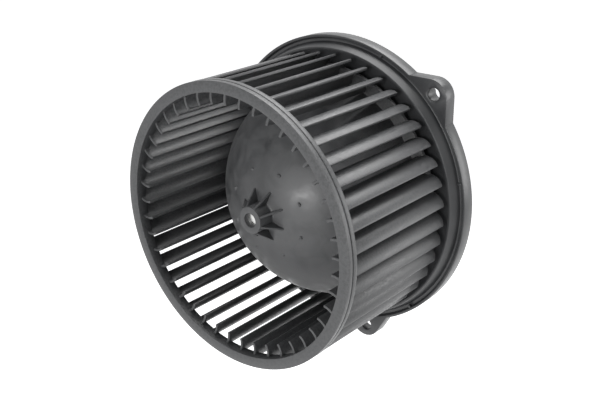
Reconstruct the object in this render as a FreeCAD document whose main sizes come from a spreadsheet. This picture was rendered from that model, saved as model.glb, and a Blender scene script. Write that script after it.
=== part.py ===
import FreeCAD, Part
import math
import os
import Sketcher

# Cabin blower motor: a forward-curved fan wheel on the shaft of a small brush motor, which
# sits in the sleeve of a round mounting flange and is closed by a cover with the socket.
# The spin axis is Y, the wheel's mouth faces -Y, and +Z is up. The origin is the centre of
# the screw circle, in the plane of the ears' front faces, which seat on the heater housing.

DRIVING_SIZES = (
    # fan wheel
    ("wheel_radius", 75.0, "outer radius of the front ring"),
    ("wheel_reach", 86.0, "mounting face to the ring's front"),
    ("ring_bore", 69.2, "inner radius of the front ring"),
    ("ring_depth", 6.0, "length of the front ring"),
    ("blade_count", 44, "blades in the wheel"),
    ("blade_thick", 1.35, "thickness of a blade"),
    ("blade_bow", 8.95, "radius of a blade's curve"),
    ("blade_upright", 65.1, "radius where a blade points straight out"),
    ("blade_heel", 16.0, "turn of the curve from there to the inner edge, degrees"),
    ("blade_lean", 80.0, "turn of the curve from there to the outer edge, degrees"),
    ("blade_inset", 3.0, "ring's front to the blades' front edge"),
    ("blade_back", 6.0, "mounting face to the blades' rear ends"),
    ("blade_phase", 3.0, "turn of the first blade, degrees"),
    ("disc_thick", 2.0, "thickness of the base disc"),
    ("draw_gap", 0.2, "disc is this much under the ring's bore"),
    ("dome_ball", 62.3, "outer radius of the dome"),
    ("dome_shift", 0.25, "dome's centre behind the mounting face"),
    ("dome_wall", 2.0, "wall of the dome"),
    ("dome_taper", 11.05, "turn that one taper inside the dome covers, degrees"),
    ("dome_tapers", 7, "tapers inside the dome, before the one at its foot"),
    ("hub_radius", 7.2, "radius of the hub"),
    ("hub_reach", 71.0, "mounting face to the hub's front"),
    ("hub_back", 52.0, "mounting face to the hub's rear end"),
    ("hub_blend", 1.0, "hollow radius round the hub's foot"),
    ("hub_mouth", 3.8, "radius of the hub's recess"),
    ("hub_recess", 2.5, "depth of the hub's recess"),
    ("rib_count", 8, "ribs round the hub"),
    ("rib_thick", 1.2, "thickness of a rib"),
    ("rib_drop", 0.6, "hub's front to the ribs' tops"),
    ("rib_span", 15.3, "radius at a rib's toe, inside the dome's wall"),
    ("rib_phase", 25.5, "turn of the first rib, degrees"),
    # shaft and rotor
    ("shaft_radius", 3.5, "radius of the shaft"),
    ("shaft_flat", 0.5, "depth of the flat on the shaft"),
    ("flat_spare", 1.0, "how far the flat reaches past the hub"),
    ("shaft_back", 27.0, "mounting face to the shaft's rear end"),
    ("core_radius", 23.2, "radius of the armature"),
    ("core_length", 26.0, "length of the armature's stack"),
    ("core_back", 2.0, "stack's rear in front of the mounting face"),
    ("slot_count", 12, "slots in the armature"),
    ("slot_mouth", 2.2, "width of a slot's mouth"),
    ("slot_radius", 3.3, "radius of a slot"),
    ("slot_circle", 18.2, "radius of the circle of slots"),
    ("paper_thick", 0.8, "thickness of an end insulator"),
    ("coil_outer", 21.6, "outer radius of the end turns"),
    ("coil_inner", 9.0, "inner radius of the end turns"),
    ("coil_front", 8.0, "length of the front end turns"),
    ("coil_rear", 6.0, "length of the rear end turns"),
    ("commutator_radius", 11.0, "radius of the commutator"),
    ("commutator_length", 12.0, "length of the commutator"),
    ("bar_thick", 2.2, "thickness of a commutator bar"),
    ("bar_gap", 0.6, "slot between commutator bars"),
    ("slinger_radius", 6.0, "radius of the oil slinger"),
    ("washer_radius", 5.6, "radius of a thrust washer"),
    ("washer_thick", 0.5, "thickness of a thrust washer"),
    ("end_play", 0.3, "front bearing to the first washer"),
    ("bearing_clearance", 0.03, "running fit of the shaft, radial"),
    # motor housing
    ("can_radius", 31.5, "outer radius of the motor can"),
    ("can_wall", 2.0, "wall of the motor can"),
    ("can_reach", 46.0, "mounting face to the can's front"),
    ("can_back", 20.0, "mounting face to the can's rear"),
    ("nose_radius", 9.6, "radius of the can's bearing nose"),
    ("nose_length", 4.2, "length of the can's bearing nose"),
    ("nose_hole", 5.0, "radius of the hole in the nose"),
    ("bearing_radius", 7.0, "outer radius of a bearing"),
    ("bearing_length", 7.0, "length of a bearing"),
    ("retainer_radius", 13.0, "outer radius of a bearing retainer"),
    ("sheet_thick", 0.8, "thickness of pressed steel parts"),
    ("felt_thick", 2.0, "thickness of the oil felt"),
    ("felt_radius", 9.0, "outer radius of the oil felt"),
    ("magnet_thick", 5.5, "thickness of a magnet"),
    ("magnet_length", 34.0, "length of a magnet"),
    ("magnet_angle", 124.0, "arc of a magnet, degrees"),
    ("end_wall", 2.0, "thickness of the end plate"),
    ("vent_count", 6, "vents in the end plate"),
    ("vent_radius", 2.6, "radius of a vent in the end plate"),
    ("vent_circle", 24.0, "radius of the circle of those vents"),
    # brush gear
    ("card_thick", 1.6, "thickness of the brush card"),
    ("card_gap", 0.2, "card's edge to the can"),
    ("card_bore", 13.6, "bore of the brush card"),
    ("brush_width", 6.0, "width of a brush"),
    ("brush_depth", 5.0, "depth of a brush along the shaft"),
    ("brush_length", 8.0, "length of a brush"),
    ("brush_clearance", 0.3, "brush to commutator and to spring"),
    ("brush_play", 0.1, "brush in its holder, each side"),
    ("holder_wall", 0.8, "wall of a brush holder"),
    ("spring_radius", 1.9, "radius of a brush spring"),
    ("spring_wire", 0.3, "radius of the spring's wire"),
    ("spring_turns", 4, "turns of a brush spring"),
    ("choke_radius", 2.6, "radius of a choke"),
    ("choke_length", 12.0, "length of a choke"),
    ("choke_circle", 20.5, "distance of a choke from the axis"),
    ("capacitor_width", 8.0, "width of the capacitor"),
    ("capacitor_thick", 2.3, "thickness of the capacitor"),
    ("capacitor_height", 6.0, "height of the capacitor"),
    # mounting flange
    ("moulded_wall", 2.4, "wall of the flange moulding"),
    ("rim_radius", 82.6, "outer radius of the flange"),
    ("rim_depth", 7.6, "depth of the flange's skirt"),
    ("rim_edge", 1.4, "flat front edge of the rim"),
    ("lip_radius", 76.7, "outer radius of the raised lip"),
    ("lip_width", 1.5, "width of the raised lip"),
    ("lip_reach", 4.2, "lip's front before the mounting face"),
    ("trough_depth", 2.0, "trough's floor behind the mounting face"),
    ("trough_inner", 78.9, "inner radius of the trough's floor"),
    ("trough_outer", 80.5, "outer radius of the trough's floor"),
    ("ear_count", 3, "screw ears"),
    ("ear_phase", 45.7, "turn of the first ear, degrees"),
    ("screw_reach", 3.4, "rim to the screw circle"),
    ("screw_hole", 3.3, "radius of a screw hole"),
    ("ear_reach", 10.4, "how far an ear stands out from the rim"),
    ("ear_round", 9.6, "radius of an ear's end"),
    ("ear_flare", 45.0, "turn of an ear's flank from its centre line, degrees"),
    ("ear_plate", 2.6, "thickness of an ear's face"),
    ("sleeve_reach", 26.0, "sleeve's front before the mounting face"),
    ("sleeve_back", 24.0, "mounting face to the sleeve's rear"),
    ("stop_width", 2.2, "inward stop at the sleeve's front"),
    ("web_count", 12, "radial webs behind the flange"),
    ("web_thick", 1.8, "thickness of a web"),
    ("web_depth", 6.4, "depth of a web at the rim"),
    ("web_rise", 16.0, "depth of a web at the sleeve"),
    # rubber mounts and rear cover
    ("rubber_thick", 3.0, "rubber between the can and the sleeve"),
    ("rubber_length", 8.0, "length of a rubber ring"),
    ("rubber_step", 12.0, "rear ring's front behind the mounting face"),
    ("cover_wall", 2.2, "wall of the rear cover"),
    ("cover_back", 37.0, "mounting face to the cover's rear"),
    ("cover_round", 4.0, "rounding of the cover's rear edge"),
    ("cover_lap", 6.0, "overlap of the cover on the sleeve"),
    ("cover_fit", 0.2, "cover's bore over the sleeve"),
    ("post_count", 3, "posts for the cover screws"),
    ("post_radius", 4.4, "radius of a post"),
    ("post_circle", 44.4, "radius of the circle of posts"),
    ("post_hole", 1.7, "radius of the hole in a post"),
    ("post_phase", 90.0, "turn of the first post, degrees"),
    ("lug_thick", 3.0, "thickness of a cover lug"),
    ("lug_hole", 2.2, "radius of the hole in a lug"),
    ("screw_head", 3.9, "radius of a cover screw's head"),
    ("head_height", 2.4, "height of that head"),
    ("thread_depth", 9.0, "screw's length in the post"),
    ("slot_vents", 7, "air slots in the cover's end"),
    ("slot_width", 2.4, "width of an air slot"),
    ("slot_pitch", 5.2, "spacing of the air slots"),
    ("slot_length", 15.0, "length of an air slot"),
    ("slot_drop", 14.0, "air slots' centre below the axis"),
    ("socket_width", 21.0, "width of the socket"),
    ("socket_height", 16.0, "height of the socket"),
    ("socket_depth", 13.0, "depth of the socket behind the cover"),
    ("socket_wall", 1.8, "wall of the socket"),
    ("socket_rise", 15.0, "socket's centre above the axis"),
    ("terminal_width", 6.3, "width of a terminal"),
    ("terminal_thick", 0.8, "thickness of a terminal"),
    ("terminal_spread", 4.6, "terminal's distance from the middle"),
    ("terminal_back", 10.0, "terminal's length in the socket"),
    ("terminal_root", 6.0, "terminal's length inside the cover"),
)

doc = FreeCAD.newDocument("CabinBlowerMotor")
sheet = doc.addObject("Spreadsheet::Sheet", "Sizes")
for row, (alias, value, meaning) in enumerate(DRIVING_SIZES, start=1):
    sheet.set("A%d" % row, alias)
    sheet.set("B%d" % row, str(value))
    sheet.setAlias("B%d" % row, alias)
    sheet.set("C%d" % row, meaning)
doc.recompute()


class Size:
    """A number taken from the sheet, with the expression that gives it."""

    def __init__(self, value, text):
        self.value = float(value)
        self.text = text

    def join(self, other, sign, value):
        return Size(value, "(%s %s %s)" % (self.text, sign, other.text))

    def __add__(self, other):
        other = sized(other)
        return self.join(other, "+", self.value + other.value)

    def __sub__(self, other):
        other = sized(other)
        return self.join(other, "-", self.value - other.value)

    def __mul__(self, other):
        other = sized(other)
        return self.join(other, "*", self.value * other.value)

    def __truediv__(self, other):
        other = sized(other)
        return self.join(other, "/", self.value / other.value)

    def __radd__(self, other):
        return sized(other) + self

    def __rsub__(self, other):
        return sized(other) - self

    def __rmul__(self, other):
        return sized(other) * self

    def __rtruediv__(self, other):
        return sized(other) / self

    def __neg__(self):
        return Size(-self.value, "(0 - %s)" % self.text)


def sized(number):
    """The number itself if it is a Size, else a Size that holds a plain number."""
    return number if isinstance(number, Size) else Size(number, "(%r)" % float(number))


def root(size):
    return Size(math.sqrt(size.value), "sqrt(%s)" % size.text)


def sine(degrees):
    return Size(math.sin(math.radians(degrees.value)), "sin(%s)" % degrees.text)


def cosine(degrees):
    return Size(math.cos(math.radians(degrees.value)), "cos(%s)" % degrees.text)


class Sheet:
    """Reads each named cell as a Size."""

    def __getattr__(self, alias):
        return Size(sheet.get(alias), "Sizes." + alias)


S = Sheet()
ZERO = sized(0)
Y_AXIS = FreeCAD.Vector(0, 1, 0)
Z_AXIS = FreeCAD.Vector(0, 0, 1)
ORIGIN = FreeCAD.Vector(0, 0, 0)
HALF = sized(180)


# Helpers for bodies, sketches and features

def new_body(label):
    """An empty body whose label is its node's name."""
    part = doc.addObject("PartDesign::Body", label)
    part.Label = label
    return part


def datum(body, role):
    """One of the body's own origin planes or axes."""
    found = [item for item in body.Origin.OriginFeatures if item.Role == role]
    return found[0]


def new_sketch(body, role, along=None, turn=None):
    """A sketch on an origin plane, moved along its normal and turned about the spin axis."""
    sketch = body.newObject("Sketcher::SketchObject", "Sketch")
    sketch.AttachmentSupport = (datum(body, role), [""])
    sketch.MapMode = "FlatFace"
    axis = -Y_AXIS if role == "XY_Plane" else Z_AXIS
    start = turn.value if turn is not None else 0
    sketch.AttachmentOffset = FreeCAD.Placement(ORIGIN, FreeCAD.Rotation(axis, start))
    if turn is not None:
        sketch.setExpression("AttachmentOffset.Rotation.Angle", turn.text)
    if along is not None:
        sketch.setExpression("AttachmentOffset.Base.z", along.text)
    return sketch


def across(body, height, turn=None):
    """A sketch square to the spin axis, at this height along +Y."""
    return new_sketch(body, "XZ_Plane", along=-height, turn=turn)


def hold(sketch, kind, *items):
    """Adds a constraint whose last item is a Size, bound to the sheet."""
    size = items[-1]
    index = sketch.addConstraint(Sketcher.Constraint(kind, *items[:-1], size.value))
    sketch.setExpression("Constraints[%d]" % index, size.text)


def hold_point(sketch, edge, end, x=None, y=None):
    """Places a point of an edge from the sketch's origin."""
    if x is not None:
        hold(sketch, "DistanceX", -1, 1, edge, end, x)
    if y is not None:
        hold(sketch, "DistanceY", -1, 1, edge, end, y)


class Bend:
    """A corner of an outline that an arc about a centre leads to."""

    def __init__(self, x, y, centre_x, centre_y, left=True):
        self.point = (sized(x), sized(y))
        self.centre = (sized(centre_x), sized(centre_y))
        self.left = left


def outline(sketch, corners):
    """A closed outline of straight edges and arcs, each corner placed by the sheet's sizes."""
    points = []
    for corner in corners:
        point = corner.point if isinstance(corner, Bend) else corner
        points.append((sized(point[0]), sized(point[1])))
    count = len(corners)
    ends = []
    for number in range(count):
        start = points[number - 1]
        finish = points[number]
        corner = corners[number]
        here = FreeCAD.Vector(start[0].value, start[1].value, 0)
        there = FreeCAD.Vector(finish[0].value, finish[1].value, 0)
        if not isinstance(corner, Bend):
            edge = sketch.addGeometry(Part.LineSegment(here, there), False)
            ends.append((edge, 1, 2))
            continue
        middle = FreeCAD.Vector(corner.centre[0].value, corner.centre[1].value, 0)
        low, high = (here, there) if corner.left else (there, here)
        low_angle = math.atan2(low.y - middle.y, low.x - middle.x)
        high_angle = math.atan2(high.y - middle.y, high.x - middle.x)
        if high_angle < low_angle:
            high_angle += 2 * math.pi
        circle = Part.Circle(middle, Z_AXIS, (here - middle).Length)
        edge = sketch.addGeometry(Part.ArcOfCircle(circle, low_angle, high_angle), False)
        ends.append((edge, 1, 2) if corner.left else (edge, 2, 1))
        hold_point(sketch, edge, 3, corner.centre[0], corner.centre[1])
    for number in range(count):
        edge, _, last = ends[number]
        following, first, _ = ends[(number + 1) % count]
        sketch.addConstraint(Sketcher.Constraint("Coincident", edge, last, following, first))
    for number in range(count):
        edge, _, last = ends[number]
        x, y = points[number]
        if not isinstance(corners[number], Bend):
            hold_point(sketch, edge, last, x, y)
            continue
        centre = corners[number].centre
        if abs(x.value - centre[0].value) > abs(y.value - centre[1].value):
            hold_point(sketch, edge, last, y=y)
        else:
            hold_point(sketch, edge, last, x=x)


def rectangle(sketch, left, bottom, right, top):
    outline(sketch, [(left, bottom), (right, bottom), (right, top), (left, top)])


def circle(sketch, x, y, radius):
    x, y, radius = sized(x), sized(y), sized(radius)
    shape = Part.Circle(FreeCAD.Vector(x.value, y.value, 0), Z_AXIS, radius.value)
    edge = sketch.addGeometry(shape, False)
    hold_point(sketch, edge, 3, x, y)
    hold(sketch, "Radius", edge, radius)


CUTS = []


def feature(body, kind, profile):
    """A feature made from a sketch. A cut is noted, to see later that it took material away."""
    base = body.Tip
    made = body.newObject("PartDesign::" + kind, kind)
    made.Profile = profile
    if kind in ("Pocket", "Groove"):
        CUTS.append((base, made))
    return made


def turned(body, corners, kind="Revolution", turn=None):
    """Turns an outline of (radius, height along Y) corners about the spin axis."""
    sketch = new_sketch(body, "XY_Plane", turn=turn)
    outline(sketch, corners)
    made = feature(body, kind, sketch)
    made.ReferenceAxis = (sketch, ["V_Axis"])
    made.Angle = 360
    return made


def ring(body, inner, outer, low, high, kind="Revolution"):
    """A plain ring or disc between two radii and two heights."""
    return turned(body, [(inner, low), (outer, low), (outer, high), (inner, high)], kind)


def raised(body, sketch, length):
    """Pads a sketch that lies square to the spin axis, towards +Y."""
    made = feature(body, "Pad", sketch)
    made.Reversed = True
    made.setExpression("Length", length.text)
    return made


def sunk(body, sketch, length):
    """Cuts a sketch that lies square to the spin axis, towards +Y."""
    made = feature(body, "Pocket", sketch)
    made.Reversed = False
    made.setExpression("Length", length.text)
    return made


def around(body, original, count):
    """Repeats a feature evenly about the spin axis."""
    pattern = body.newObject("PartDesign::PolarPattern", "PolarPattern")
    pattern.Originals = [original]
    pattern.Axis = (datum(body, "Y_Axis"), [""])
    pattern.Angle = 360
    pattern.setExpression("Occurrences", count.text)
    body.Tip = pattern
    return pattern


def copies_around(label, pattern_shape, count, first=ZERO):
    """Separate like pieces in one node, spaced evenly about the spin axis."""
    pieces = []
    for number in range(int(count.value)):
        piece = pattern_shape.copy()
        piece.rotate(ORIGIN, Y_AXIS, -(first.value + number * 360.0 / count.value))
        pieces.append(piece)
    return group(label, pieces)


def group(label, pieces):
    """Separate like pieces in one node."""
    node = doc.addObject("Part::Feature", label)
    node.Label = label
    node.Shape = Part.makeCompound(pieces)
    return node


# Fan wheel, one moulding: front ring, blades, base disc, dome, hub and ribs

def fan_wheel():
    wheel = new_body("fan_wheel")
    front = -S.wheel_reach
    ring(wheel, S.ring_bore, S.wheel_radius, front, front + S.ring_depth)

    # A blade is an arc that points straight out at one radius and bends forward to its tip.
    blade_front = front + S.blade_inset
    sketch = across(wheel, blade_front, turn=S.blade_phase)
    outer = S.blade_bow + S.blade_thick / 2
    inner = S.blade_bow - S.blade_thick / 2
    centre = (S.blade_bow, S.blade_upright)
    outline(sketch, [
        blade_point(-S.blade_heel, outer),
        Bend(*blade_point(S.blade_lean, outer), *centre, left=False),
        blade_point(S.blade_lean, inner),
        Bend(*blade_point(-S.blade_heel, inner), *centre, left=True),
    ])
    blade = raised(wheel, sketch, -S.blade_back - blade_front)
    around(wheel, blade, S.blade_count)

    back = -S.blade_back
    # Base disc, dome and hub in one section. The dome is round outside about one centre, and
    # inside it widens to the rear in straight tapers that keep the wall within half a millimetre.
    disc_front = back - S.disc_thick
    ball = S.dome_ball
    shell = S.dome_ball - S.dome_wall
    middle = S.dome_shift
    hub = S.hub_radius
    steps = range(1, int(S.dome_tapers.value) + 1)
    levels = [middle - shell * cosine(S.dome_taper * step) for step in steps]
    blend = hub + S.hub_blend
    blend_height = sphere_height(ball + S.hub_blend, middle, blend)
    foot = blend * ball / (ball + S.hub_blend)
    turned(wheel, [
        (S.ring_bore - S.draw_gap, back),
        (S.ring_bore - S.draw_gap, disc_front),
        (sphere_radius(ball, middle, disc_front), disc_front),
        Bend(foot, sphere_height(ball, middle, foot), ZERO, middle, left=False),
        Bend(hub, blend_height, blend, blend_height, left=True),
        (hub, -S.hub_reach),
        (S.hub_mouth, -S.hub_reach),
        (S.hub_mouth, -S.hub_reach + S.hub_recess),
        (ZERO, -S.hub_reach + S.hub_recess),
        (ZERO, -S.hub_back),
        (hub, -S.hub_back),
        (hub, sphere_height(shell, middle, hub)),
    ] + [(sphere_radius(shell, middle, level), level) for level in levels] + [
        (sphere_radius(shell, middle, back), back),
    ])

    # Ribs lean from the hub down to the dome.
    rib_top = -S.hub_reach + S.rib_drop
    bite = S.dome_wall / 2
    sketch = new_sketch(wheel, "XY_Plane", turn=S.rib_phase)
    outline(sketch, [
        (hub - bite, rib_top), (hub, rib_top),
        (S.rib_span, sphere_height(ball, middle, S.rib_span) + bite),
        (hub - bite, sphere_height(ball, middle, hub) + bite),
    ])
    rib = feature(wheel, "Pad", sketch)
    rib.SideType = "Symmetric"
    rib.setExpression("Length", S.rib_thick.text)
    around(wheel, rib, S.rib_count)

    # The bore takes the shaft and its flat.
    sketch = across(wheel, -S.hub_reach + S.hub_recess, turn=S.rib_phase)
    flatted_round(sketch, S.shaft_radius, S.shaft_flat)
    bore = feature(wheel, "Pocket", sketch)
    bore.Reversed = False
    bore.Type = "ThroughAll"
    return wheel


def blade_point(turn, reach):
    """A point at this reach from the centre of a blade's curve, turned on from straight out."""
    return S.blade_bow - reach * cosine(turn), S.blade_upright + reach * sine(turn)


def sphere_radius(ball, middle, height):
    """Radius at a height on a ball centred on the spin axis."""
    return root(ball * ball - (height - middle) * (height - middle))


def sphere_height(ball, middle, radius):
    """Height of the ball's front at a radius."""
    return middle - root(ball * ball - radius * radius)


def flatted_round(sketch, radius, flat):
    """A round section with one flat."""
    level = radius - flat
    half = root(radius * radius - level * level)
    outline(sketch, [(-half, level), Bend(half, level, ZERO, ZERO, left=True)])


# Rotor inside the motor

def shaft_front():
    return -S.hub_reach + S.hub_recess


def stack_front():
    return -S.core_back - S.core_length


def commutator_front():
    return -S.core_back + S.coil_rear + S.washer_thick


def motor_shaft():
    shaft = new_body("motor_shaft")
    ring(shaft, ZERO, S.shaft_radius, shaft_front(), S.shaft_back)
    level = S.shaft_radius - S.shaft_flat
    sketch = across(shaft, shaft_front(), turn=S.rib_phase)
    rectangle(sketch, -S.shaft_radius, level, S.shaft_radius, S.shaft_radius + S.shaft_flat)
    sunk(shaft, sketch, -S.hub_back + S.flat_spare - shaft_front())
    return shaft


def armature_core():
    core = new_body("armature_core")
    ring(core, S.shaft_radius, S.core_radius, stack_front(), -S.core_back)
    sketch = across(core, stack_front())
    circle(sketch, ZERO, S.slot_circle, S.slot_radius)
    slot = sunk(core, sketch, S.core_length)
    around(core, slot, S.slot_count)
    sketch = across(core, stack_front())
    rectangle(sketch, -S.slot_mouth / 2, S.slot_circle, S.slot_mouth / 2, S.core_radius + S.slot_mouth)
    mouth = sunk(core, sketch, S.core_length)
    around(core, mouth, S.slot_count)
    return core


def insulator(label, low):
    disc = new_body(label)
    ring(disc, S.shaft_radius, S.slot_circle - S.slot_radius, low, low + S.paper_thick)
    return disc


def armature_windings():
    """Both heaps of end turns, joined by the wires that fill the slots."""
    coil = new_body("armature_windings")
    crown = (S.coil_outer - S.coil_inner) / 4
    front = stack_front() - S.coil_front
    turned(coil, [
        (S.coil_inner + crown, front), (S.coil_outer - crown, front),
        (S.coil_outer, front + crown), (S.coil_outer, stack_front()),
        (S.slot_circle - S.slot_radius, stack_front()),
        (S.slot_circle - S.slot_radius, stack_front() - S.paper_thick),
        (S.coil_inner, stack_front() - S.paper_thick), (S.coil_inner, front + crown),
    ])
    sketch = across(coil, stack_front())
    circle(sketch, ZERO, S.slot_circle, S.slot_radius)
    wires = raised(coil, sketch, S.core_length)
    around(coil, wires, S.slot_count)
    rear = -S.core_back + S.coil_rear
    crown = crown / 2
    turned(coil, [
        (S.slot_circle - S.slot_radius, -S.core_back), (S.coil_outer, -S.core_back),
        (S.coil_outer, rear - crown), (S.coil_outer - crown, rear),
        (S.coil_inner + crown, rear), (S.coil_inner, rear - crown),
        (S.coil_inner, -S.core_back + S.paper_thick),
        (S.slot_circle - S.slot_radius, -S.core_back + S.paper_thick),
    ])
    return coil


def commutator_hub():
    hub = new_body("commutator_hub")
    low = commutator_front()
    ring(hub, S.shaft_radius, S.commutator_radius - S.bar_thick, low, low + S.commutator_length)
    return hub


def commutator_bars():
    """The copper bars, each with the slot's half width left off either side."""
    low = commutator_front()
    inner = S.commutator_radius - S.bar_thick
    shell = Part.makeCylinder(S.commutator_radius.value, S.commutator_length.value,
                              FreeCAD.Vector(0, low.value, 0), Y_AXIS)
    bore = Part.makeCylinder(inner.value, S.commutator_length.value,
                             FreeCAD.Vector(0, low.value, 0), Y_AXIS)
    tube = shell.cut(bore)
    step = math.pi / S.slot_count.value
    gap = S.bar_gap.value / 2
    far = 2 * S.commutator_radius.value
    apex = gap / math.sin(step)
    wedge = Part.Face(Part.makePolygon([
        FreeCAD.Vector(apex, low.value, 0),
        FreeCAD.Vector(apex + far * math.cos(step), low.value, -far * math.sin(step)),
        FreeCAD.Vector(apex + far * math.cos(step), low.value, far * math.sin(step)),
        FreeCAD.Vector(apex, low.value, 0),
    ])).extrude(FreeCAD.Vector(0, S.commutator_length.value, 0))
    bar = tube.common(wedge)
    return copies_around("commutator_bars", bar, S.slot_count)


def washers_front():
    """Height of the first front washer, a little off the bearing."""
    return front_bearing_back() + S.end_play


def thrust_washers():
    """Fibre washers, two before the slinger and two behind the commutator."""
    front = washers_front()
    rear = commutator_front() + S.commutator_length
    pieces = []
    for low in (front, front + S.washer_thick, rear, rear + S.washer_thick):
        at = FreeCAD.Vector(0, low.value, 0)
        disc = Part.makeCylinder(S.washer_radius.value, S.washer_thick.value, at, Y_AXIS)
        hole = Part.makeCylinder(S.shaft_radius.value, S.washer_thick.value, at, Y_AXIS)
        pieces.append(disc.cut(hole))
    return group("thrust_washers", pieces)


def oil_slinger():
    """A pressed cup behind the front washers that throws oil back into the felt."""
    slinger = new_body("oil_slinger")
    low = washers_front() + 2 * S.washer_thick
    ring(slinger, S.shaft_radius, S.slinger_radius, low, low + 2 * S.sheet_thick)
    return slinger


# Motor can with its magnets and bearings

def nose_front():
    return -S.can_reach - S.nose_length


def front_bearing_back():
    return nose_front() + S.can_wall + S.bearing_length


def rear_bearing_front():
    return S.can_back - S.end_wall


def motor_can():
    can = new_body("motor_can")
    front = -S.can_reach
    bore = S.can_radius - S.can_wall
    turned(can, [
        (S.nose_hole, nose_front()), (S.nose_radius, nose_front()), (S.nose_radius, front),
        (S.can_radius - S.can_wall, front),
        Bend(S.can_radius, front + S.can_wall, bore, front + S.can_wall, left=True),
        (S.can_radius, S.can_back), (bore, S.can_back), (bore, front + S.can_wall),
        (S.bearing_radius, front + S.can_wall),
        (S.bearing_radius, nose_front() + S.can_wall), (S.nose_hole, nose_front() + S.can_wall),
    ])
    return can


def bearing(label, low):
    """A plain sintered bearing with chamfered ends."""
    bush = new_body(label)
    bore = S.shaft_radius + S.bearing_clearance
    high = low + S.bearing_length
    edge = S.sheet_thick
    turned(bush, [
        (bore, low), (S.bearing_radius - edge, low), (S.bearing_radius, low + edge),
        (S.bearing_radius, high - edge), (S.bearing_radius - edge, high), (bore, high),
    ])
    return bush


def front_bearing_retainer():
    """A dished spring washer: its rim stands on the can's front wall, its eye on the bearing."""
    washer = new_body("front_bearing_retainer")
    eye = S.washer_radius + S.sheet_thick
    low = front_bearing_back()
    seat = -S.can_reach + S.can_wall
    knee = S.felt_radius + S.sheet_thick
    rim = S.retainer_radius
    turned(washer, [
        (eye, low), (knee, low), (rim - S.sheet_thick, seat), (rim, seat),
        (knee + S.sheet_thick, low + S.sheet_thick), (eye, low + S.sheet_thick),
    ])
    return washer


def rear_bearing_retainer():
    """A flat spring washer on the front of the end plate."""
    washer = new_body("rear_bearing_retainer")
    high = rear_bearing_front()
    ring(washer, S.washer_radius + S.sheet_thick, S.retainer_radius, high - S.sheet_thick, high)
    return washer


def oil_felt():
    """A felt washer round the front bearing, between the can and the retainer."""
    felt = new_body("oil_felt")
    low = -S.can_reach + S.can_wall
    ring(felt, S.bearing_radius, S.felt_radius, low, low + S.felt_thick)
    return felt


def arc_block(label, inner, outer, half, turn):
    """A block curved along the can's wall, as long as the magnets."""
    block = new_body(label)
    sketch = across(block, magnet_front(), turn=turn)
    cos_half = cosine(half)
    sin_half = sine(half)
    outline(sketch, [
        (outer * cos_half, -outer * sin_half),
        Bend(outer * cos_half, outer * sin_half, ZERO, ZERO, left=True),
        (inner * cos_half, inner * sin_half),
        Bend(inner * cos_half, -inner * sin_half, ZERO, ZERO, left=False),
    ])
    raised(block, sketch, S.magnet_length)
    return block


def magnet(label, turn):
    """A curved ferrite block against the can's wall."""
    bore = S.can_radius - S.can_wall
    return arc_block(label, bore - S.magnet_thick, bore, S.magnet_angle / 2, turn)


def magnet_clip(label, turn):
    """A bowed spring that lies on the can's wall and presses the magnets' edges apart."""
    bore = S.can_radius - S.can_wall
    return arc_block(label, bore - S.sheet_thick, bore, (HALF - S.magnet_angle) / 2, turn)


def magnet_front():
    """The magnets reach past the stack evenly at both ends."""
    return stack_front() - (S.magnet_length - S.core_length) / 2


def end_plate():
    """The pressed plate that closes the can and seats the rear bearing."""
    plate = new_body("end_plate")
    bore = S.can_radius - S.can_wall
    low = S.can_back - S.end_wall
    high = low + S.bearing_length + S.sheet_thick
    seat = S.bearing_radius + S.end_wall
    turned(plate, [
        (S.bearing_radius, low), (bore, low), (bore, S.can_back), (seat, S.can_back),
        (seat, high), (S.nose_hole, high), (S.nose_hole, high - S.sheet_thick),
        (S.bearing_radius, high - S.sheet_thick),
    ])
    sketch = across(plate, low)
    circle(sketch, S.vent_circle, ZERO, S.vent_radius)
    vent = sunk(plate, sketch, S.end_wall)
    around(plate, vent, S.vent_count)
    return plate


# Brush gear on its card

def brush_level():
    """Height of the brushes' middle along the shaft."""
    return commutator_front() + S.commutator_length / 2


def card_front():
    """The card lies behind the holders, which stand on its front face."""
    return brush_level() + S.brush_depth / 2 + S.brush_play + S.holder_wall


def brush_card():
    card = new_body("brush_card")
    outer = S.can_radius - S.can_wall - S.card_gap
    ring(card, S.card_bore, outer, card_front(), card_front() + S.card_thick)
    low = card_front() + S.card_thick
    ring(card, outer - S.card_thick, outer, low, rear_bearing_front())
    return card


def brush_inner():
    return S.commutator_radius + S.brush_clearance


def holder_inner():
    return S.card_bore


def holder_outer():
    """The holder reaches past the spring to its back wall."""
    return S.can_radius - S.can_wall - S.card_gap - S.sheet_thick


def brush_holder(label, side):
    """A folded brass box, open towards the commutator and closed behind the spring."""
    box = new_body(label)
    width = S.brush_width / 2 + S.brush_play
    depth = S.brush_depth / 2 + S.brush_play
    wall = S.holder_wall
    level = brush_level()
    sketch = across(box, level - depth - wall)
    rectangle(sketch, -width - wall, side * holder_inner(), width + wall, side * holder_outer())
    raised(box, sketch, 2 * depth + 2 * wall)
    sketch = across(box, level - depth)
    rectangle(sketch, -width, side * (holder_inner() - wall), width, side * (holder_outer() - wall))
    sunk(box, sketch, 2 * depth)
    return box


def brush(label, side):
    """A carbon block with a hollow face that follows the commutator."""
    block = new_body(label)
    half = S.brush_width / 2
    low = brush_level() - S.brush_depth / 2
    face = brush_inner()
    edge = root(face * face - half * half)
    back = face + S.brush_length
    sketch = across(block, low)
    outline(sketch, [
        Bend(side * half, side * edge, ZERO, ZERO, left=False),
        (side * half, side * back), (-side * half, side * back), (-side * half, side * edge),
    ])
    raised(block, sketch, S.brush_depth)
    return block


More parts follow.
